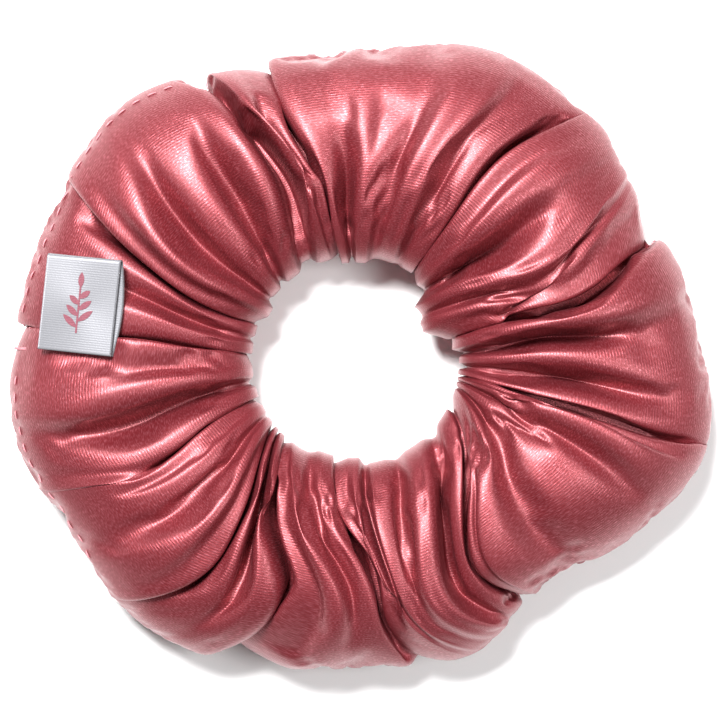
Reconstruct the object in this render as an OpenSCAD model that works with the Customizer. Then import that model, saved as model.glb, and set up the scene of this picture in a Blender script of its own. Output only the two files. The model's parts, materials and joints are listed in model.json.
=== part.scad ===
// Gathered satin scrunchie lying flat, relaxed.
// Origin: centre of the hair opening, at half the height of the elastic. +Z is up, off the table.
// The ring is eight segments, numbered anticlockwise, that part along the tangent as the elastic stretches.

/* [Hair opening] */
// Radius of the relaxed opening
opening_r = 19; // [18:0.5:20]
// Height of the straight wall round the opening
opening_h = 10; // [9:0.5:11]

/* [Cover] */
// Thickness of the gathered cloth
cloth_t = 1; // [0.8:0.1:1.2]
// Height of the cover above the middle of the elastic
cover_top = 11; // [10:0.5:12]
// Depth of the cover below the middle of the elastic, where it rests on the table
cover_rest = 9.5; // [8.5:0.5:10]

/* [Elastic] */
// Width of the flat elastic
elastic_w = 6; // [4:0.5:6.5]
// Thickness of the flat elastic
elastic_t = 1; // [0.8:0.1:1.2]
// Length over which the two ends of the elastic are lapped
elastic_lap = 10; // [8:1:12]

/* [Stitching] */
// Diameter of the sewing thread
thread_d = 0.4; // [0.3:0.05:0.5]
// Distance from one stitch of the closing row to the next
stitch_pitch = 1.6; // [1.4:0.1:2.5]
// Distance of the closing row from the outer edge
stitch_inset = 1.7; // [1.5:0.1:2.2]

/* [Label] */
// Width of the ribbon
label_w = 12.7; // [10:0.1:13]
// Length of the folded ribbon, from the seam to the fold
label_l = 15.8; // [12:0.1:16]
// Thickness of one layer of ribbon
ribbon_t = 0.35; // [0.25:0.05:0.4]
// Space between the two layers
ribbon_gap = 0.5; // [0.3:0.1:0.8]

/* [Hidden] */
SEGMENTS = 8;
SEAM_SEGMENTS = [1, 2, 3, 5, 6, 7, 8];
CLOSING_SEGMENTS = [3, 4, 5];

segment_angle = 360 / SEGMENTS;
// Angle left free at each end of a segment, so that neighbours never touch
split_angle = 0.3;

// How far the cover's outer edge reaches from the middle of the opening, segment by segment
REACH = [57.5, 53.5, 58, 59, 58, 53, 53.5, 60.5];
reach_max = max(REACH);

// Half section of the cover: [share of the way out from the lip, share of the height]
SECTION = [
    [0.04, 0.62], [0.1, 0.78], [0.2, 0.91], [0.36, 1], [0.56, 1], [0.72, 0.91], [0.84, 0.76],
    [0.93, 0.54], [0.985, 0.3], [1, 0.1]
];

// Where the section leaves the straight wall of the opening
lip_r = opening_r + 0.6;

// The closing row runs between these angles, and the hidden seam takes up the rest of the edge
closing_from = 123;
closing_to = 220;

elastic_r = opening_r + cloth_t + 0.2;
lap_r = elastic_r + elastic_t;
cross_seam_angle = 178;

label_t = 2 * ribbon_t + ribbon_gap;
label_turn = -6;
label_tilt = -13;
label_x = -45.7;
label_y = 1.2;
label_clearance = 0.35;

satin = [0.66, 0.28, 0.32];
band_white = [0.93, 0.91, 0.88];
thread_pink = [0.9, 0.66, 0.68];
ribbon_grey = [0.72, 0.69, 0.7];
print_maroon = [0.4, 0.12, 0.16];

// ---- cover ------------------------------------------------------------------

function segment_start(i) = (i - 0.5) * segment_angle;

// Closed loop of [radius, height] round the section of a segment, moved in by inset
function section(i, inset) =
    let (
        out = REACH[i - 1] - inset - lip_r,
        top = cover_top - inset,
        rest = inset - cover_rest,
        wall = opening_h / 2 - inset
    )
    concat(
        [[opening_r + inset, -wall], [opening_r + inset, wall], [lip_r + inset, wall]],
        [for (s = SECTION) [lip_r + max(s[0] * out, inset + 0.1 * s[0]), s[1] * top]],
        [
            for (k = [len(SECTION) - 1:-1:0])
                let (s = SECTION[k])
                [lip_r + max(s[0] * out, inset + 0.1 * s[0]), max(-s[1] * top, rest)]
        ],
        [[lip_r + inset, -wall]]
    );

// Height of the top of a segment at a radius
function top_z(i, r) = lookup((r - lip_r) / (REACH[i - 1] - lip_r), SECTION) * cover_top;

// Turns a section through a segment, short of its neighbours by the split angle
module round_segment(i) {
    rotate(segment_start(i) + split_angle)
        rotate_extrude(angle = segment_angle - 2 * split_angle, $fn = 180)
            children();
}

// Segment of the hollow cloth tube, open at both ends
module cover(i) {
    color(satin)
        round_segment(i)
            difference() {
                polygon(section(i, 0));
                polygon(section(i, cloth_t));
            }
}

// ---- elastic ----------------------------------------------------------------

// Section of the flat band standing on edge
module band_section(r) {
    translate([r, -elastic_w / 2])
        square([elastic_t, elastic_w]);
}

// Segment of the elastic loop
module elastic(i) {
    color(band_white)
        round_segment(i)
            band_section(elastic_r);
}

// The elastic's second end, lapped over the first
module elastic_end() {
    lap_angle = elastic_lap / lap_r * 180 / PI;
    color(band_white)
        rotate(180 - lap_angle / 2)
            rotate_extrude(angle = lap_angle, $fn = 180)
                band_section(lap_r);
}

// Round rod between two points
module rod(from, to, d) {
    step = to - from;
    length = norm(step);
    translate(from)
        rotate([0, acos(step[2] / length), atan2(step[1], step[0])])
            cylinder(h = length, d = d, $fn = 16);
}

// Zigzag that joins the lapped ends
module elastic_join_stitch() {
    zigs = 8;
    step = elastic_lap / lap_r * 180 / PI * 0.8 / zigs;
    r = lap_r + elastic_t + thread_d / 2 + 0.05;
    rise = elastic_w * 0.35;
    gap = 0.08;
    points = [
        for (k = [0:zigs])
            let (a = 180 + (k - zigs / 2) * step)
            [r * cos(a), r * sin(a), k % 2 == 0 ? -rise : rise]
    ];
    color(thread_pink)
        for (k = [0:zigs - 1])
            let (run = points[k + 1] - points[k])
                rod(points[k] + gap * run, points[k + 1] - gap * run, thread_d);
}

// ---- seams ------------------------------------------------------------------

// Thread of the long seam, inside the cover along its outer edge
module seam_thread(i) {
    from = i == 5 ? closing_to : segment_start(i) + 2 * split_angle;
    to = i == 3 ? closing_from : segment_start(i + 1) - 2 * split_angle;
    color(thread_pink)
        rotate(from)
            rotate_extrude(angle = to - from, $fn = 180)
                translate([REACH[i - 1] - cloth_t - thread_d, 0])
                    circle(d = thread_d, $fn = 24);
}

// Row of stitches that closes the turning gap, on top of the cover by its outer edge
module closing_stitch(i) {
    from = max(closing_from, segment_start(i) + 1);
    to = min(closing_to, segment_start(i + 1) - 1);
    r = REACH[i - 1] - stitch_inset;
    z = top_z(i, r) + thread_d / 4;
    pitch = stitch_pitch / r * 180 / PI;
    drawn = 0.65 * pitch;
    color(thread_pink)
        for (a = [from:pitch:to - drawn])
            rod([r * cos(a), r * sin(a), z], [r * cos(a + drawn), r * sin(a + drawn), z], thread_d);
}

// Stitching of the seam that joins the tube's two ends, inside the cover, clear of the elastic
module cross_seam_stitch() {
    inset = cloth_t + 0.3;
    color(thread_pink)
        rotate([90, 0, cross_seam_angle])
            linear_extrude(thread_d, center = true)
                intersection() {
                    difference() {
                        polygon(section(4, inset));
                        polygon(section(4, inset + thread_d));
                    }
                    translate([opening_r + 6, -reach_max / 2])
                        square([reach_max, reach_max]);
                }
}

// ---- label ------------------------------------------------------------------

// Height of the label's underside at the middle of its sewn edge: the least that clears the cover
label_z = max([
    for (u = [-label_w / 2:label_w / 8:label_w / 2], v = [0:label_l / 8:label_l])
        let (
            x = label_x + u * cos(label_turn) - v * sin(label_turn),
            y = label_y + u * sin(label_turn) + v * cos(label_turn)
        )
        top_z(4, norm([x, y])) + u * tan(label_tilt)
]) + label_clearance;

// Puts a shape drawn with its sewn edge along X on the cover
module at_label() {
    translate([label_x, label_y, label_z])
        rotate([0, 0, label_turn])
            rotate([0, label_tilt, 0])
                children();
}

// Ribbon folded in half, its fold away from the seam
module loop_label() {
    straight = label_l - label_t / 2;
    color(ribbon_grey)
        at_label()
            translate([-label_w / 2, 0, 0])
                rotate([90, 0, 90])
                    linear_extrude(label_w) {
                        square([straight, ribbon_t]);
                        translate([0, label_t - ribbon_t])
                            square([straight, ribbon_t]);
                        translate([straight, label_t / 2])
                            intersection() {
                                difference() {
                                    circle(d = label_t, $fn = 48);
                                    circle(d = ribbon_gap, $fn = 48);
                                }
                                translate([0, -label_t])
                                    square(2 * label_t);
                            }
                    }
}

// Pointed leaf between two arcs, growing along X
module leaf(length, bulge) {
    r = (length * length / 4 + bulge * bulge) / (2 * bulge);
    intersection() {
        translate([length / 2, bulge - r])
            circle(r, $fn = 64);
        translate([length / 2, r - bulge])
            circle(r, $fn = 64);
    }
}

// Plain leafy sprig printed on the front of the label
module label_print() {
    print_t = 0.1;
    stem_l = 8;
    color(print_maroon)
        at_label()
            translate([0, 3.2, label_t])
                linear_extrude(print_t) {
                    translate([-0.15, 0])
                        square([0.3, stem_l]);
                    for (k = [0:2], side = [-1, 1])
                        translate([0, 1.4 + 1.9 * k + 0.5 * side])
                            rotate(90 - side * 52)
                                leaf(3.2 - 0.5 * k, 0.5);
                    translate([0, stem_l - 0.6])
                        rotate(90)
                            leaf(2.6, 0.5);
                }
}

for (i = [1:SEGMENTS]) cover(i);
for (i = [1:SEGMENTS]) elastic(i);
for (i = SEAM_SEGMENTS) seam_thread(i);
for (i = CLOSING_SEGMENTS) closing_stitch(i);
elastic_end();
elastic_join_stitch();
cross_seam_stitch();
loop_label();
label_print();
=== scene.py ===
import json
import math

import bpy
import numpy as np
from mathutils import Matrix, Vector

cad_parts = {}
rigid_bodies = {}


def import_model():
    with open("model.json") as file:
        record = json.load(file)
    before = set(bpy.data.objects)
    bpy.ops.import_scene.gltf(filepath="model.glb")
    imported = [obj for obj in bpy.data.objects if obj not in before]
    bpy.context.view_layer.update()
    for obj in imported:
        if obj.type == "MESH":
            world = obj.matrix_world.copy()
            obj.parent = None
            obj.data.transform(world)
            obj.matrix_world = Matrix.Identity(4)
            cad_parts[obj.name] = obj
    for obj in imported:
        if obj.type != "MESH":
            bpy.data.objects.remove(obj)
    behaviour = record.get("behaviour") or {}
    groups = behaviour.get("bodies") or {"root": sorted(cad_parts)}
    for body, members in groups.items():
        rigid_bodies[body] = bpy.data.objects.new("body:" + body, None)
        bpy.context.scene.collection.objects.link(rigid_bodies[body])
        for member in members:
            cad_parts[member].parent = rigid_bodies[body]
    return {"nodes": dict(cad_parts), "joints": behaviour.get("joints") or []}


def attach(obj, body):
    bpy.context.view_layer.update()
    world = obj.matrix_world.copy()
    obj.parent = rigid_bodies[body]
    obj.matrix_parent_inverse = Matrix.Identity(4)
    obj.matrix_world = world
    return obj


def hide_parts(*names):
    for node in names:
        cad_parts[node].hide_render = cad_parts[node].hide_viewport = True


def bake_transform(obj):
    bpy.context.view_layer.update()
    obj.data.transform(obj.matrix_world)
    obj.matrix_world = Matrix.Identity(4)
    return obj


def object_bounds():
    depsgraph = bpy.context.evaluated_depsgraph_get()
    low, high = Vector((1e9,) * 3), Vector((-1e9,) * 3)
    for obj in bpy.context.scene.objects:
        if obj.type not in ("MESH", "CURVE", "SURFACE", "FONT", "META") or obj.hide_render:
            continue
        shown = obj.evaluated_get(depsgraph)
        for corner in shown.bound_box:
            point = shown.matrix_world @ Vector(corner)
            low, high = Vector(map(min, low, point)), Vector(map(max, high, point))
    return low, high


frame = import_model()
cad_low, cad_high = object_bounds()

# ---- Satin cover --------------------------------------------------------------------------------
# One strip of polyester satin, sewn right side in to a tube, turned, and gathered on the elastic.
# Let go, it settles in folds that run from the opening to the outer edge, some lying over the next.

MM = 0.001
SEGMENTS = 8
STEPS_BETWEEN_RIBS = 6
STEPS_ACROSS = 150
GATHER_SEED = 7

# One row a fold, anticlockwise. The crest: its angle at the opening and at the edge, how far it bows
# between them (degrees), its height (share of the cover's). The crease after it: its depth (share), how
# far across it runs (share), and what lies over it: 1 the next fold, -1 this fold, 0 neither. Last, how
# far the fold reaches into the opening, and past the plain outline at the edge (mm).
FOLDS = [
    # small leaf at the foot of the right-hand fold
    (-7, -9, -5, 0.84, 0.55, 0.75, 0, 0, 2),
    (0, 0, 0, 0.88, 0.50, 0.70, 0, 0, -2),
    # right-hand fold
    (8, 17, 1, 1.08, 0.62, 1.50, 1, 1, -2),
    # upper right fold: a low band, then a leaf-shaped hollow between two thin ridges
    (26, 33, -8, 0.92, 0.16, 0.50, 0, 5, -4),
    (40, 36, -8, 1.04, 0.50, 0.60, 0, 4, 0),
    (49, 40, 2, 1.10, 0.45, 0.95, -1, 1, 0),
    # broad panel across the top
    (60, 53, 0, 0.98, 0.10, 0.60, 0, 0, 0),
    (73, 66, -1, 1.14, 0.14, 0.60, 0, 0, 2),
    (88, 84, 0, 1.02, 0.42, 0.55, 0, 1, 0),
    (96, 102, 3, 0.94, 0.60, 1.20, 1, 1, -1),
    # slim fold lying over it
    (105, 116, -2, 1.10, 0.78, 1.50, 0, 0, -2),
    # folds of the upper left
    (128, 123, -9, 1.02, 0.40, 0.70, 0, 0, -1),
    (139, 130, -3, 0.98, 0.34, 0.70, 0, 0, 1),
    (151, 138, 6, 1.10, 0.76, 0.85, -1, 1, 1),
    # panel that the label lies on
    (164, 155, 0, 0.78, 0.26, 0.60, 0, 0, -1),
    (173, 168, 0, 0.88, 0.42, 1.20, 1, 0, -1),
    # lower left panel, its edge beside the sewn end of the label
    (186, 187, 0, 1.08, 0.40, 0.80, 0, 0, 0),
    (198, 196, 6, 0.94, 0.50, 0.60, 1, 0, 1),
    (208, 208, 4, 1.00, 0.16, 0.80, 0, 0, -2),
    (216, 218, 12, 1.10, 0.62, 0.85, -1, 0, -1),
    (221, 229, 14, 0.92, 0.40, 0.80, 0, 0, 0),
    (225, 239, 15, 0.98, 0.74, 1.50, 1, 0, 0),
    # upright folds of the bottom
    (234, 262, 12, 1.12, 0.14, 0.80, 0, 0, 0),
    (253, 276, 5, 1.02, 0.62, 1.10, 1, 1, -1),
    (269, 291, -5, 0.96, 0.30, 0.70, 0, 1, 1),
    (281, 295, -9, 1.02, 0.24, 0.60, 0, 0, 1),
    (304, 299, -12, 1.12, 0.46, 0.90, 0, 0, -1),
    (328, 303, -12, 0.80, 0.50, 1.50, 1, 0, -3),
    # large panel of the lower right
    (343, 309, -17, 1.12, 0.18, 1.00, 0, 0, -4),
    (347, 327, -6, 1.04, 0.12, 0.90, 0, 0, 1),
    (350, 342, -2, 1.12, 0.72, 0.95, -1, 0, 3),
]
CREST_SHARE = 0.92
TOP = cad_high[2] * CREST_SHARE
REST = -cad_low[2]
NOTCH = 5 * MM
SWELL = 0.9 * MM
OVER_ELASTIC = 5 * MM
OUTER_DROP = 2.6 * MM
EDGE_WINDOW = 7
SECTION_POWER = 0.74
GATHER_WAVES = (31, 43, 57, 74)
GATHER_HEIGHT = 0.03 * MM
SCALLOP_MM = 1.3
INNER_EASE = 0.2 * MM


def smoothstep(x):
    """0 below 0, 1 above 1, and 3x^2 - 2x^3 between them."""
    x = np.clip(x, 0, 1)
    return x * x * (3 - 2 * x)


def node_points(name):
    """A CAD node's vertices as an array."""
    mesh = frame["nodes"][name].data
    points = np.empty(3 * len(mesh.vertices))
    mesh.vertices.foreach_get("co", points)
    return points.reshape(-1, 3)


def catmull(rows, steps, lap):
    """Closed smooth curve through each row in turn, `steps` points to a gap (Catmull-Rom). `lap` is
    what a row gains each time round."""
    count = len(rows)
    at = np.arange(count * steps) / steps
    k = np.floor(at).astype(int)
    s = (at - k).reshape((-1,) + (1,) * (rows.ndim - 1))
    a, b, c, d = (rows[(k + j) % count] + ((k + j) // count)[:, None, None] * lap for j in (-1, 0, 1, 2))
    return b + 0.5 * s * (c - a + s * (2 * a - 5 * b + 4 * c - d + s * (3 * (b - c) + d - a)))


radii = [np.hypot(*node_points(f"cover_{i + 1}")[:, :2].T) for i in range(SEGMENTS)]
OPENING = min(r.min() for r in radii)
edge_radii = np.array([r.max() for r in radii])


def edge_radius(degrees):
    """The cover's outer radius at an angle: the CAD segments' radii, eased from each to the next."""
    at = (np.asarray(degrees) / 45 - 1) % SEGMENTS
    k = np.floor(at).astype(int)
    return edge_radii[k % SEGMENTS] + smoothstep(at - k) * (
        edge_radii[(k + 1) % SEGMENTS] - edge_radii[k % SEGMENTS])


def edge_offset(degrees):
    """How far the folds stand past the plain outline at an angle: the last number of each fold, joined
    by straight lines from crest to crest and averaged over a window either side."""
    folds = np.array(FOLDS, float)
    window = np.linspace(-EDGE_WINDOW, EDGE_WINDOW, 9)
    at = np.asarray(degrees)[..., None] + window
    return np.interp(at, folds[:, 1], folds[:, 8], period=360).mean(axis=-1) * MM


def fold_ribs(share):
    """Lines across the cover at each crest, shoulder, lip and crease: angle, height and reach at every
    share of the way. A crease lies midway between two crests. Where a fold lies over the next, its lip
    passes the crease by the tuck and the crease turns back under it, both fading with the crease."""
    folds = np.array(FOLDS, float)
    start, end, bow, height, depth, run, over, into = (folds[:, j, None] for j in range(8))
    crest = start + (end - start) * share + bow * np.sin(math.pi * share)
    crown = height * (0.74 + 0.28 * np.sin(math.pi * share))
    after = np.roll(crest, -1, axis=0) + np.where(np.arange(len(folds)) == len(folds) - 1, 360, 0)[:, None]
    crown_after = np.roll(crown, -1, axis=0)
    into_after = np.roll(into, -1, axis=0)
    gap = after - crest
    fade = 1 - smoothstep((share - run + 0.35) / 0.45)
    deep = depth * fade
    middle = (crest + after) / 2
    tuck = np.minimum(0.22 * gap, 5) * fade * np.abs(over)
    low = np.minimum(crown, crown_after) * (1 - deep)
    reach = 0.5 * (into + into_after)
    lip = np.where(over > 0, crown_after, crown) * (1 - 0.3 * deep)
    peak = (crest, crown, into, 0 * deep)
    shoulder = (crest + 0.26 * gap, crown * (1 - 0.2 * deep), into, 0.1 * deep)
    next_shoulder = (after - 0.26 * gap, crown_after * (1 - 0.2 * deep), into_after, 0.1 * deep)
    near, far = middle - tuck, middle + tuck
    foot = (reach, deep)
    crease = {0: [(middle, low, *foot)],
              1: [(near, 1.1 * low, *foot), (far, low, *foot), (near, lip, *foot)],
              -1: [(far, lip, *foot), (near, low, *foot), (far, 1.1 * low, *foot)]}
    ribs = []
    for k, side in enumerate(over[:, 0].astype(int)):
        ribs += [[part[k] for part in line] for line in (peak, shoulder, *crease[side], next_shoulder)]
    return np.array([[np.broadcast_to(part, share.shape) for part in rib] for rib in ribs])


def cover_grid():
    """The whole cover as a closed grid, round the ring by across it. A row leaves the opening, goes over
    the top to the edge and back underneath, as a superellipse whose height follows the ribs. Gathers are
    sine ripples of seeded phase that die away from the opening."""
    turn = np.linspace(0, 2 * math.pi, STEPS_ACROSS, endpoint=False)
    share = (1 - np.sign(np.cos(turn)) * np.abs(np.cos(turn)) ** SECTION_POWER) / 2
    rise = np.sign(np.sin(turn)) * np.abs(np.sin(turn)) ** SECTION_POWER
    ribs = catmull(fold_ribs(share).transpose(0, 2, 1), STEPS_BETWEEN_RIBS, np.array([360, 0, 0, 0]))
    angle, height, into, deep = (ribs[..., j] for j in range(4))
    ripple = np.zeros_like(angle)
    random = np.random.default_rng(GATHER_SEED)
    around = np.radians(angle)
    for waves in GATHER_WAVES:
        phase = random.uniform(0, 2 * math.pi)
        skew = random.uniform(-5, 5)
        dying = np.exp(-(share / 0.28) ** 2)
        ripple += np.sin(waves * around + phase + skew * share) * dying * GATHER_HEIGHT
    angle = angle + 1.5 * np.sin(5 * around + 6 * share) * np.sin(math.pi * share)
    scallop = 1 - np.clip(deep / 0.5, 0, 1)
    inner = OPENING - INNER_EASE - (into + SCALLOP_MM * scallop) * MM
    outer = edge_radius(angle) + edge_offset(angle) - NOTCH * deep - SWELL
    radius = inner + (outer - inner) * share
    z = np.where(rise > 0, rise * (height * TOP + ripple), rise * REST * (0.62 + 0.38 * height))
    z = np.where(rise > 0, np.maximum(z, np.minimum(1.35 * rise, 1) * OVER_ELASTIC), z)
    z = z - OUTER_DROP * share ** 3 * (1 + np.minimum(rise, 0))
    rad = np.radians(angle)
    return np.stack([radius * np.cos(rad), radius * np.sin(rad), np.maximum(z, -REST)], axis=-1)


def settled(grid, every=3, frames=14, grow=-0.07, cap=1.6 * MM):
    """The cover after its cloth has settled: a coarser copy of the grid is run as Cloth, a little larger
    than its shape so that it buckles as gathered satin does, held at the opening and where it rests. How
    far each point moved, capped, is eased back on to the full grid."""
    coarse = grid[::every, ::every]
    rows, cols = coarse.shape[:2]
    obj = build("settling", coarse.reshape(-1, 3), grid_faces(rows, cols), SATIN)
    pinned = obj.vertex_groups.new(name="held")
    radius = np.hypot(coarse[..., 0], coarse[..., 1]).reshape(-1)
    low = smoothstep((-0.15 - coarse[..., 2].reshape(-1) / REST) / 0.3)
    held = np.clip(1.2 - (radius - OPENING) / (5 * MM), 0, 1) + low
    grade = np.round(10 * np.minimum(held, 1)).astype(int)
    for tenths in range(1, 11):
        pinned.add(np.nonzero(grade == tenths)[0].tolist(), tenths / 10, "REPLACE")
    cloth = obj.modifiers.new("cloth", "CLOTH")
    settings = cloth.settings
    settings.quality = 12
    settings.mass = 0.3
    settings.tension_stiffness = settings.compression_stiffness = 5
    settings.shear_stiffness = 2
    settings.bending_stiffness = 0.02
    settings.shrink_min = grow
    settings.vertex_group_mass = "held"
    settings.effector_weights.gravity = 0
    cloth.collision_settings.use_collision = False
    cloth.point_cache.frame_start, cloth.point_cache.frame_end = 1, frames
    scene = bpy.context.scene
    for frame_number in range(1, frames + 1):
        scene.frame_set(frame_number)
    result = obj.evaluated_get(bpy.context.evaluated_depsgraph_get()).data
    points = np.empty(3 * len(result.vertices), np.float32)
    result.vertices.foreach_get("co", points)
    scene.frame_set(1)
    moved = points.reshape(rows, cols, 3) - coarse
    size = np.linalg.norm(moved, axis=-1, keepdims=True)
    moved *= cap * np.tanh(size / cap) / np.maximum(size, 1e-9)
    bpy.data.meshes.remove(obj.data)
    full = catmull(catmull(moved, every, 0).transpose(1, 0, 2), every, 0).transpose(1, 0, 2)
    return grid + full[:grid.shape[0], :grid.shape[1]]


def grid_faces(rows, cols, closed_rows=True, closed_cols=True):
    """Four-cornered faces between neighbouring rows and columns of a grid, outwards on a closed ring."""
    i = np.arange(rows if closed_rows else rows - 1)[:, None]
    j = np.arange(cols if closed_cols else cols - 1)[None, :]
    corners = [(i, j), (i + 1, j), (i + 1, j + 1), (i, j + 1)]
    return np.stack([(a % rows) * cols + b % cols for a, b in corners], axis=-1).reshape(-1, 4)


def build(name, points, faces, material, uv=None, normals=None):
    """One mesh object at the origin, smooth, from points and four-cornered faces, with uv a point."""
    used, index = np.unique(faces, return_inverse=True)
    index = index.reshape(-1, 4)
    mesh = bpy.data.meshes.new(name)
    mesh.from_pydata(points[used].tolist(), [], index.tolist())
    mesh.polygons.foreach_set("use_smooth", np.ones(len(index), bool))
    if uv is not None:
        layer = mesh.uv_layers.new(name="cloth")
        layer.data.foreach_set("uv", uv.reshape(-1))
    if normals is not None:
        mesh.normals_split_custom_set_from_vertices(normals[used].tolist())
    mesh.materials.append(material)
    mesh.update()
    obj = bpy.data.objects.new(name, mesh)
    bpy.context.scene.collection.objects.link(obj)
    return obj


def ring_normals(grid):
    """Unit normals of a closed grid, from the cross product of its two directions."""
    normal = np.cross(np.roll(grid, -1, 0) - np.roll(grid, 1, 0), np.roll(grid, -1, 1) - np.roll(grid, 1, 1))
    return normal / np.maximum(np.linalg.norm(normal, axis=-1, keepdims=True), 1e-12)


# Neighbouring bodies that a stretch joint joins, and the sector between their middles.
SPANS = [(j["parent"], j["child"]) for j in frame["joints"] if j["name"].startswith("stretch")]
SPANS = [tuple(int(b.split("_")[1]) for b in pair) for pair in SPANS]
MIDDLE_RADIUS = 38 * MM
RING_LENGTH = 2 * math.pi * MIDDLE_RADIUS


def by_sector(prefix, points, faces, material, uv=None, normals=None, stands_for=None):
    """Cuts a ring into the sectors between segment middles, so that each crosses one joint,
    and the two halves at the open side, which ride on their own segments."""
    middle = points[faces].mean(axis=1)
    angle = np.degrees(np.arctan2(middle[:, 1], middle[:, 0])) % 360
    made = []
    for sector in range(SEGMENTS):
        a, b = (sector or SEGMENTS), sector + 1
        inside = (angle >= 45 * sector) & (angle < 45 * sector + 45)
        pair = next((p for p in SPANS if set(p) == {a, b}), None)
        if pair is None:
            halves = [(f"{prefix}_{a}_end", inside & (angle < 45 * sector + 22.5), a),
                      (f"{prefix}_{b}_end", inside & (angle >= 45 * sector + 22.5), b)]
        else:
            halves = [(f"{prefix}_{a}_{b}", inside, None)]
        for name, chosen, rider in halves:
            if not chosen.any():
                continue
            piece = build(name, points, faces[chosen], material,
                          None if uv is None else uv[chosen], normals)
            if rider:
                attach(piece, f"segment_{rider}")
            else:
                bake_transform(piece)
            made.append((piece, a, b, rider))
    if stands_for:
        for node in stands_for:
            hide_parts(node)
    return [m[0] for m in made]


def new_group(name, inputs, outputs):
    """An empty shader node group with named value inputs and outputs, and its two end nodes."""
    group = bpy.data.node_groups.new(name, "ShaderNodeTree")
    for label, kind, default in inputs:
        socket = group.interface.new_socket(label, in_out="INPUT", socket_type=kind)
        socket.default_value = default
    for label, kind in outputs:
        group.interface.new_socket(label, in_out="OUTPUT", socket_type=kind)
    return group, group.nodes.new("NodeGroupInput"), group.nodes.new("NodeGroupOutput")


def math_node(nodes, operation, value=None):
    """A Math node, its second input set where a value is given."""
    node = nodes.new("ShaderNodeMath")
    node.operation = operation
    if value is not None:
        node.inputs[1].default_value = value
    return node


def weave_group():
    """Woven ribs: a wave across the cloth, broken by noise drawn out along the rib. Height is for bump,
    Glint is the few yarn floats that catch more light, a mask for a painted highlight in the colour and for
    lower roughness, and Shade is slow unevenness of the dye."""
    group, start, end = new_group(
        "weave", [("Vector", "NodeSocketVector", (0, 0, 0)), ("Ribs per metre", "NodeSocketFloat", 2000.0)],
        [("Height", "NodeSocketFloat"), ("Glint", "NodeSocketFloat"), ("Shade", "NodeSocketFloat")])
    nodes, link = group.nodes, group.links.new
    split = nodes.new("ShaderNodeSeparateXYZ")
    link(start.outputs["Vector"], split.inputs[0])
    ribs = math_node(nodes, "MULTIPLY")
    link(split.outputs["Y"], ribs.inputs[0])
    link(start.outputs["Ribs per metre"], ribs.inputs[1])
    turn = math_node(nodes, "MULTIPLY", 2 * math.pi)
    link(ribs.outputs[0], turn.inputs[0])
    wave = math_node(nodes, "SINE")
    link(turn.outputs[0], wave.inputs[0])
    stretch = nodes.new("ShaderNodeMapping")
    stretch.inputs["Scale"].default_value = (3200, 6500, 6500)
    link(start.outputs["Vector"], stretch.inputs["Vector"])
    floats = nodes.new("ShaderNodeTexNoise")
    floats.inputs["Scale"].default_value = 1
    floats.inputs["Detail"].default_value = 3
    link(stretch.outputs[0], floats.inputs["Vector"])
    half = math_node(nodes, "MULTIPLY", 0.22)
    link(wave.outputs[0], half.inputs[0])
    height = math_node(nodes, "ADD")
    link(half.outputs[0], height.inputs[0])
    link(floats.outputs["Fac"], height.inputs[1])
    link(height.outputs[0], end.inputs["Height"])
    glint = nodes.new("ShaderNodeMapRange")
    glint.inputs["From Min"].default_value = 0.48
    glint.inputs["From Max"].default_value = 0.74
    link(floats.outputs["Fac"], glint.inputs["Value"])
    link(glint.outputs[0], end.inputs["Glint"])
    slow = nodes.new("ShaderNodeTexNoise")
    slow.inputs["Scale"].default_value = 60
    slow.inputs["Detail"].default_value = 2
    link(start.outputs["Vector"], slow.inputs["Vector"])
    link(slow.outputs["Fac"], end.inputs["Shade"])
    return group


WEAVE = weave_group()


def cloth_material(name, dark, light, metallic, roughness, ribs, bump, anisotropy=0.0, use_uv=True):
    """Woven cloth: colour between its own dark shade and the lighter `light` colour by the glint mask, which
    is a painted highlight on the weave; roughness broken by the same, ribs as bump.
    """
    material = bpy.data.materials.new(name)
    material.use_nodes = True
    nodes, link = material.node_tree.nodes, material.node_tree.links.new
    shader = nodes["Principled BSDF"]
    where = nodes.new("ShaderNodeTexCoord")
    weave = nodes.new("ShaderNodeGroup")
    weave.node_tree = WEAVE
    weave.inputs["Ribs per metre"].default_value = ribs
    link(where.outputs["UV" if use_uv else "Object"], weave.inputs["Vector"])
    # painted highlight: where the glint mask is high, the base colour turns to the lighter colour
    painted_glint = nodes.new("ShaderNodeMix")
    painted_glint.data_type = "RGBA"
    painted_glint.inputs[6].default_value = (*dark, 1)
    painted_glint.inputs[7].default_value = (*light, 1)
    link(weave.outputs["Glint"], painted_glint.inputs[0])
    dye = nodes.new("ShaderNodeMix")
    dye.data_type = "RGBA"
    dye.blend_type = "MULTIPLY"
    dye.inputs[0].default_value = 0.25
    link(painted_glint.outputs[2], dye.inputs[6])
    link(weave.outputs["Shade"], dye.inputs[7])
    link(dye.outputs[2], shader.inputs["Base Color"])
    rough = nodes.new("ShaderNodeMapRange")
    rough.inputs["To Min"].default_value = roughness + 0.06
    rough.inputs["To Max"].default_value = roughness - 0.10
    link(weave.outputs["Glint"], rough.inputs["Value"])
    link(rough.outputs[0], shader.inputs["Roughness"])
    height = nodes.new("ShaderNodeBump")
    height.inputs["Distance"].default_value = bump
    height.inputs["Strength"].default_value = 0.8
    link(weave.outputs["Height"], height.inputs["Height"])
    link(height.outputs[0], shader.inputs["Normal"])
    shader.inputs["Metallic"].default_value = metallic
    shader.inputs["Anisotropic"].default_value = anisotropy
    return material


# the satin's own rose, and a lighter pink painted into the colour where the weave glints: a painted
# highlight
SATIN = cloth_material("rose_satin", (0.200, 0.016, 0.023), (0.42, 0.105, 0.13),
                       0.55, 0.40, 2000, 0.00006, 0.3)
SATIN.node_tree.nodes["Principled BSDF"].inputs["Coat Weight"].default_value = 0.35
SATIN.node_tree.nodes["Principled BSDF"].inputs["Coat Roughness"].default_value = 0.42

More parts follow.
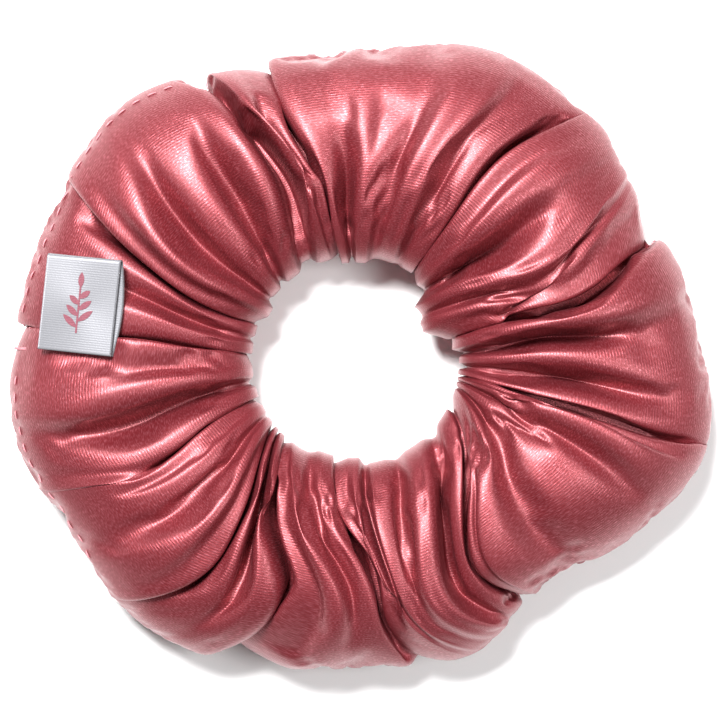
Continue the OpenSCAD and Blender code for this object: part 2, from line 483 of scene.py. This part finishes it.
# the label's place, from its hinge: along its sewn edge, along its length, and out of its face
hinge = next(j for j in frame["joints"] if j["name"] == "label_lift")
label_points = node_points("loop_label")
hinge_place = np.array(hinge["pos_m"], float)
wide_way = np.array(hinge["axis"], float)
wide_way /= np.linalg.norm(wide_way)
long_way = np.array([-wide_way[1], wide_way[0], 0.0])
long_way /= np.linalg.norm(long_way)
up_way = np.cross(wide_way, long_way)
label_axes = np.array([wide_way, long_way, up_way]).T
local = (label_points - hinge_place) @ label_axes
(low_x, low_y, low_z), (high_x, high_y, high_z) = local.min(0), local.max(0)
SWING_ROOM = 1.7 * MM
PRESS_MARGIN = 2.5 * MM
UNDER_LABEL = 0.35 * MM


def pressed(grid):
    """The cloth under the label lies below it: inside the label's outline, and the room that its sewn
    end swings through, eased over a margin, a point is no higher than just under its lowest face."""
    place = (grid - hinge_place) @ label_axes
    away = np.maximum(np.maximum(low_x - place[..., 0], place[..., 0] - high_x),
                      np.maximum(low_y - SWING_ROOM - place[..., 1], place[..., 1] - high_y))
    limit = low_z - UNDER_LABEL + 3 * MM * smoothstep(away / PRESS_MARGIN)
    over = np.where((away < PRESS_MARGIN) & (place[..., 2] > limit), place[..., 2] - limit, 0)
    return grid - over[..., None] * up_way


cover_points = cover_grid()
cover_points = settled(cover_points)
cover_points = pressed(cover_points)
cover_normals = ring_normals(cover_points)
rows, cols = cover_points.shape[:2]
# make the faces look outwards: on the top row the normal points up
if cover_normals[:, cols // 4, 2].mean() < 0:
    cover_normals = -cover_normals
cover_faces = grid_faces(rows, cols)
a, b, c = (cover_points.reshape(-1, 3)[cover_faces[:, j]] for j in range(3))
top_face = np.cross(b - a, c - a)
if top_face.reshape(rows, cols, 3)[:, cols // 4, 2].mean() < 0:
    cover_faces = cover_faces[:, ::-1]
# cloth coordinates: metres along the strip and metres across it
along = np.linspace(0, RING_LENGTH, rows, endpoint=False)
across = np.concatenate([[0], np.cumsum(np.linalg.norm(np.diff(cover_points, axis=1), axis=2).mean(0))])
flat_uv = np.stack(np.broadcast_arrays(along[:, None], across[None, :]), axis=-1).reshape(-1, 2)
face_uv = flat_uv[cover_faces]
# the last row and column close the ring, so their far corners carry on instead of jumping back
for axis, whole in ((0, RING_LENGTH), (1, across[-1] + across[1])):
    wide = face_uv[..., axis].max(axis=1) - face_uv[..., axis].min(axis=1) > whole / 2
    face_uv[wide, :, axis] += np.where(face_uv[wide, :, axis] < whole / 2, whole, 0)

cover_pieces = by_sector(
    "cover", cover_points.reshape(-1, 3), cover_faces, SATIN, face_uv,
    cover_normals.reshape(-1, 3), [f"cover_{i + 1}" for i in range(SEGMENTS)])

# ---- Turned-in cloth at the open side -------------------------------------------------------------
# The same satin, carried on from segment 8 inside the folds of segment 1, where slack cloth lies
# turned in. It draws out as the ring stretches.

REACH_IN = 17.5 * MM
TURNED_ROWS = 40
TURNED_AROUND = 96
OPEN_SIDE = 22.5
WALL_GAP = 1.4 * MM
BELOW_ROOF = 0.9 * MM
split = math.radians(OPEN_SIDE)
out_way = np.array([math.cos(split), math.sin(split)])
round_way = np.array([-math.sin(split), math.cos(split)])


def turned_in():
    """A tube straight on from the open side: a flat superellipse in each section, whose top lies under
    the lowest cover cloth that each point passes as it draws out, with soft lengthwise gathers."""
    away = np.linspace(-1.5 * MM, REACH_IN, TURNED_ROWS)[:, None]
    turn = np.linspace(0, 2 * math.pi, TURNED_AROUND, endpoint=False)[None, :]
    share = (1 - np.sign(np.cos(turn)) * np.abs(np.cos(turn)) ** 0.8) / 2
    rise = np.sign(np.sin(turn)) * np.abs(np.sin(turn)) ** 0.8
    narrow = away / REACH_IN
    first, last = OPENING + (0.8 + 1.5 * narrow) * MM, edge_radius(OPEN_SIDE) - (6 + 5 * narrow) * MM
    radius = first + (last - first) * share
    flat = radius[..., None] * out_way + away[..., None] * round_way
    top = cover_points[:, 2:cols // 2 - 2].reshape(-1, 3)
    near_open = np.abs(top[:, :2] @ round_way - REACH_IN / 2) < REACH_IN
    top = top[near_open & (top[:, :2] @ out_way > 0)][::2]
    roof = np.empty(flat.shape[:2])
    for row in range(TURNED_ROWS):
        gap = np.hypot(*(flat[row, :, None, j] - top[None, :, j] for j in (0, 1)))
        roof[row] = np.where(gap < WALL_GAP, top[None, :, 2], TOP).min(axis=1)
    roof = np.minimum.accumulate(roof, axis=0)
    gather = 1 - 0.10 * (1 + np.sin(9 * math.pi * share + 0.3 * np.sin(away * 600)))
    upper = np.minimum(roof - BELOW_ROOF, 0.75 * TOP)
    z = np.where(rise > 0, rise * upper * gather, rise * 0.7 * REST * gather)
    return np.concatenate([flat, z[..., None]], axis=-1)


inside = turned_in()
inside_faces = grid_faces(TURNED_ROWS, TURNED_AROUND, closed_rows=False)
a, b, c = (inside.reshape(-1, 3)[inside_faces[:, j]] for j in range(3))
facing = np.cross(b - a, c - a).reshape(TURNED_ROWS - 1, TURNED_AROUND, 3)
if facing[:, TURNED_AROUND // 4, 2].mean() < 0:
    inside_faces = inside_faces[:, ::-1]
UV_WIDTH = 0.08
inside_uv = np.stack(np.meshgrid(np.linspace(0, REACH_IN, TURNED_ROWS),
                                 np.linspace(0, UV_WIDTH, TURNED_AROUND), indexing="ij"), axis=-1)
inside_uv = inside_uv.reshape(-1, 2)
turned = build("cover_8_turned_in", inside.reshape(-1, 3), inside_faces, SATIN, inside_uv[inside_faces])
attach(turned, "segment_8")

# ---- Thread: the closing row and the long seam --------------------------------------------------
# Polyester thread. The gap the tube was turned through is closed by machine along the outer edge, and
# the long seam runs round the rest of that edge.

# the thread's own pink, and a lighter pink painted in where the weave glints: a painted highlight
THREAD = cloth_material("pink_thread", (0.52, 0.19, 0.22), (0.74, 0.38, 0.41),
                        0.1, 0.55, 9000, 0.00002, use_uv=False)
STITCH_LENGTH = 1.7 * MM
STITCH_PITCH = 2.9 * MM
THREAD_RADIUS = 0.12 * MM


def stitch_row(line, normal):
    """Separate stitches along a line of points: each a six-sided bead, thin at both ends, that lifts
    from the cloth at its middle. Returns points and four-cornered faces."""
    run = np.concatenate([[0], np.cumsum(np.linalg.norm(np.diff(line, axis=0), axis=1))])
    starts = np.arange(0.5 * MM, run[-1] - STITCH_LENGTH, STITCH_PITCH)
    t = np.linspace(0, 1, 7)
    where = starts[:, None] + t * STITCH_LENGTH
    middle = np.stack([np.interp(where, run, line[:, j]) for j in range(3)], axis=-1)
    up = np.stack([np.interp(where, run, normal[:, j]) for j in range(3)], axis=-1)
    up = up / np.linalg.norm(up, axis=-1, keepdims=True)
    ahead = np.gradient(middle, axis=1)
    side = np.cross(ahead, up)
    side = side / np.maximum(np.linalg.norm(side, axis=-1, keepdims=True), 1e-12)
    round_ = np.linspace(0, 2 * math.pi, 6, endpoint=False)
    swell = (np.sin(math.pi * t) ** 0.5 * THREAD_RADIUS + 0.01 * MM)[None, :, None, None]
    middle = middle + up * (0.05 * MM + 0.1 * MM * np.sin(math.pi * t))[None, :, None]
    points = middle[:, :, None] + swell * (np.cos(round_)[:, None] * side[:, :, None]
                                           + np.sin(round_)[:, None] * up[:, :, None])
    one = grid_faces(7, 6, closed_rows=False)
    faces = one[None] + 42 * np.arange(len(starts))[:, None, None]
    return points.reshape(-1, 3), faces.reshape(-1, 4)


def edge_line(first, last, inset_column):
    """The cover's own points and normals along one row near the outer edge, between two angles."""
    line = cover_points[:, inset_column]
    angle = np.degrees(np.arctan2(line[:, 1], line[:, 0])) % 360
    chosen = (angle >= first) & (angle <= last)
    order = np.argsort(angle[chosen])
    return line[chosen][order], cover_normals[:, inset_column][chosen][order]


def node_span(prefix, numbers):
    """The first and last angle that some CAD nodes reach, in degrees."""
    angle = np.concatenate([np.degrees(np.arctan2(p[:, 1], p[:, 0])) % 360
                            for p in (node_points(f"{prefix}_{n}") for n in numbers)])
    return angle.min(), angle.max()


CLOSED = [n for n in range(1, 9) if f"closing_stitch_{n}" in frame["nodes"]]
SEAMED = [n for n in range(1, 9) if f"seam_thread_{n}" in frame["nodes"]]
first, last = node_span("closing_stitch", CLOSED)
CLOSING_ROW = 0.415
EDGE_ROW = 0.5
top_column = int(cols * CLOSING_ROW)
edge_column = int(cols * EDGE_ROW)
line, normal = edge_line(first, last, top_column)
points, faces = stitch_row(line, normal)
by_sector("closing", points, faces, THREAD,
          stands_for=[f"closing_stitch_{n}" for n in CLOSED])
before, after = edge_line(0, first, edge_column), edge_line(last, 360, edge_column)
rows_made = [stitch_row(*before), stitch_row(*after)]
points = np.concatenate([r[0] for r in rows_made])
faces = np.concatenate([rows_made[0][1], rows_made[1][1] + len(rows_made[0][0])])
by_sector("seam", points, faces, THREAD, stands_for=[f"seam_thread_{n}" for n in SEAMED])

# ---- Elastic ------------------------------------------------------------------------------------
# One flat woven elastic, lapped and zigzagged into a loop, hidden inside the inner edge of the cover.

# the elastic's own off-white, and a lighter white painted in where the weave glints: a painted highlight
ELASTIC = cloth_material("white_elastic", (0.62, 0.60, 0.57), (0.82, 0.80, 0.77),
                         0.0, 0.7, 1400, 0.00008, use_uv=False)
elastic = np.concatenate([node_points(f"elastic_{i + 1}") for i in range(SEGMENTS)])
elastic_r = np.hypot(elastic[:, 0], elastic[:, 1])
inner, outer, tall = elastic_r.min(), elastic_r.max(), elastic[:, 2].max()
BAND_AROUND = 360
BAND_SECTION = 40
BAND_RIBS = 14
turn = np.linspace(0, 2 * math.pi, BAND_AROUND, endpoint=False)[:, None]
section = np.linspace(0, 2 * math.pi, BAND_SECTION, endpoint=False)[None, :]
half = (outer - inner) / 2
ribbed = 1 + 0.08 * np.cos(BAND_RIBS * section)
squared = np.sign(np.cos(section)) * np.abs(np.cos(section)) ** 0.3
radius = (inner + outer) / 2 + half * 0.95 * squared * ribbed
height = tall * np.sign(np.sin(section)) * np.abs(np.sin(section)) ** 0.6
band = np.stack(np.broadcast_arrays(radius * np.cos(turn), radius * np.sin(turn), height), axis=-1)
by_sector("elastic_band", band.reshape(-1, 3), grid_faces(BAND_AROUND, BAND_SECTION), ELASTIC,
          stands_for=[f"elastic_{i + 1}" for i in range(SEGMENTS)])

for name in ("elastic_end", "elastic_join_stitch", "cross_seam_stitch"):
    mesh = frame["nodes"][name].data
    mesh.materials.clear()
    mesh.materials.append(ELASTIC if name == "elastic_end" else THREAD)

# ---- Label --------------------------------------------------------------------------------------
# A short satin ribbon folded in half, its two cut ends caught in the cross seam. A plain leaf sprig
# is printed on its face.

# the ribbon's own silver grey, and a lighter grey painted in where the weave glints: a painted highlight
RIBBON = cloth_material("silver_ribbon", (0.24, 0.24, 0.26), (0.34, 0.34, 0.36),
                        0.45, 0.38, 2600, 0.00002, 0.3)
RIBBON_COLUMNS = 49
PLY_SHARE = 0.45
ply = 0.28 * MM
bend = (high_z - low_z - ply) / 2
straight = high_y - low_y - bend - ply / 2
path = np.linspace(0, 1, 121)
swing = math.pi * np.clip((path - PLY_SHARE) / 0.1, 0, 1) - math.pi / 2
rounded = straight + bend * np.cos(swing)
y = np.where(path < PLY_SHARE, straight * path / PLY_SHARE,
             np.where(path > 0.55, straight * (1 - path) / PLY_SHARE, rounded))
z = (low_z + high_z) / 2 + bend * np.sin(swing)
profile = np.stack([low_y + y, z], axis=-1)
direction = np.gradient(profile, axis=0)
direction /= np.linalg.norm(direction, axis=1, keepdims=True)
outward = np.stack([direction[:, 1], -direction[:, 0]], axis=-1)
loop = np.concatenate([profile + outward * ply / 2, (profile - outward * ply / 2)[::-1]])
widths = np.linspace(low_x, high_x, RIBBON_COLUMNS)
jut = 0.9 * MM * np.where(loop[:, 1] < (low_z + high_z) / 2, 1, 0) * np.sin(
    math.pi * np.clip((loop[:, 0] - low_y) / (high_y - low_y), 0, 1))
x = widths[:, None] + jut[None, :] * smoothstep((widths - low_x) / (high_x - low_x))[:, None]
ribbon = (x[..., None] * wide_way + loop[None, :, 0, None] * long_way + loop[None, :, 1, None] * up_way
          + hinge_place)
ribbon_faces = grid_faces(RIBBON_COLUMNS, len(loop), closed_rows=False)
count = len(loop)
i = np.arange(count // 2 - 1)
side = np.stack([i, i + 1, count - 2 - i, count - 1 - i], axis=-1)
ribbon_faces = np.concatenate([ribbon_faces, side[:, ::-1], side + (RIBBON_COLUMNS - 1) * count])
around = np.concatenate([[0], np.cumsum(np.linalg.norm(np.diff(loop, axis=0), axis=1))])
ribbon_uv = np.stack(np.broadcast_arrays(widths[:, None], around[None, :]), axis=-1).reshape(-1, 2)
label = build("ribbon_label", ribbon.reshape(-1, 3), ribbon_faces, RIBBON, ribbon_uv[ribbon_faces])
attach(label, "label")
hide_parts("loop_label")

# the print's own maroon, and a lighter maroon painted in where the weave glints: a painted highlight
PRINT = cloth_material("maroon_print", (0.16, 0.03, 0.05), (0.24, 0.06, 0.08),
                       0.0, 0.5, 2600, 0.00002, use_uv=False)
print_mesh = frame["nodes"]["label_print"].data
print_mesh.materials.clear()
print_mesh.materials.append(PRINT)

# ---- Table, light and camera --------------------------------------------------------------------
# A white table top, one soft light from above the far left and a weaker one from the right. The
# camera looks straight down.

sweep = bpy.data.meshes.new("floor")
sweep.from_pydata([(-1, -1, cad_low[2]), (1, -1, cad_low[2]), (1, 1, cad_low[2]), (-1, 1, cad_low[2])], [],
                  [(0, 1, 2, 3)])
floor = bpy.data.objects.new("floor", sweep)
bpy.context.scene.collection.objects.link(floor)
paper = bpy.data.materials.new("white_paper")
paper.use_nodes = True
paper.node_tree.nodes["Principled BSDF"].inputs["Base Color"].default_value = (0.95, 0.95, 0.95, 1)
paper.node_tree.nodes["Principled BSDF"].inputs["Roughness"].default_value = 0.9
sweep.materials.append(paper)

bpy.context.scene.view_settings.view_transform = "Standard"
world = bpy.data.worlds.new("studio")
bpy.context.scene.world = world
world.use_nodes = True
world.node_tree.nodes["Background"].inputs["Color"].default_value = (1, 1, 1, 1)
world.node_tree.nodes["Background"].inputs["Strength"].default_value = 0.20


def soft_light(name, place, size, energy):
    """A square area light at a place, turned to face the object."""
    data = bpy.data.lights.new(name, "AREA")
    data.size = size
    data.energy = energy
    light = bpy.data.objects.new(name, data)
    light.location = place
    light.rotation_euler = Vector(place).to_track_quat("Z", "Y").to_euler()
    bpy.context.scene.collection.objects.link(light)


soft_light("key", (-0.10, 0.20, 0.42), 0.13, 6.5)
soft_light("fill", (0.28, -0.04, 0.40), 0.20, 1.5)

camera_data = bpy.data.cameras.new("camera")
camera_data.lens = 100
camera_data.sensor_width = 36
camera = bpy.data.objects.new("camera", camera_data)
bpy.context.scene.collection.objects.link(camera)
bpy.context.scene.camera = camera
VIEW_WIDTH = 1.02 * (cad_high[0] - cad_low[0])
camera.location = ((cad_low[0] + cad_high[0]) / 2, (cad_low[1] + cad_high[1]) / 2,
                   VIEW_WIDTH * camera_data.lens / camera_data.sensor_width)
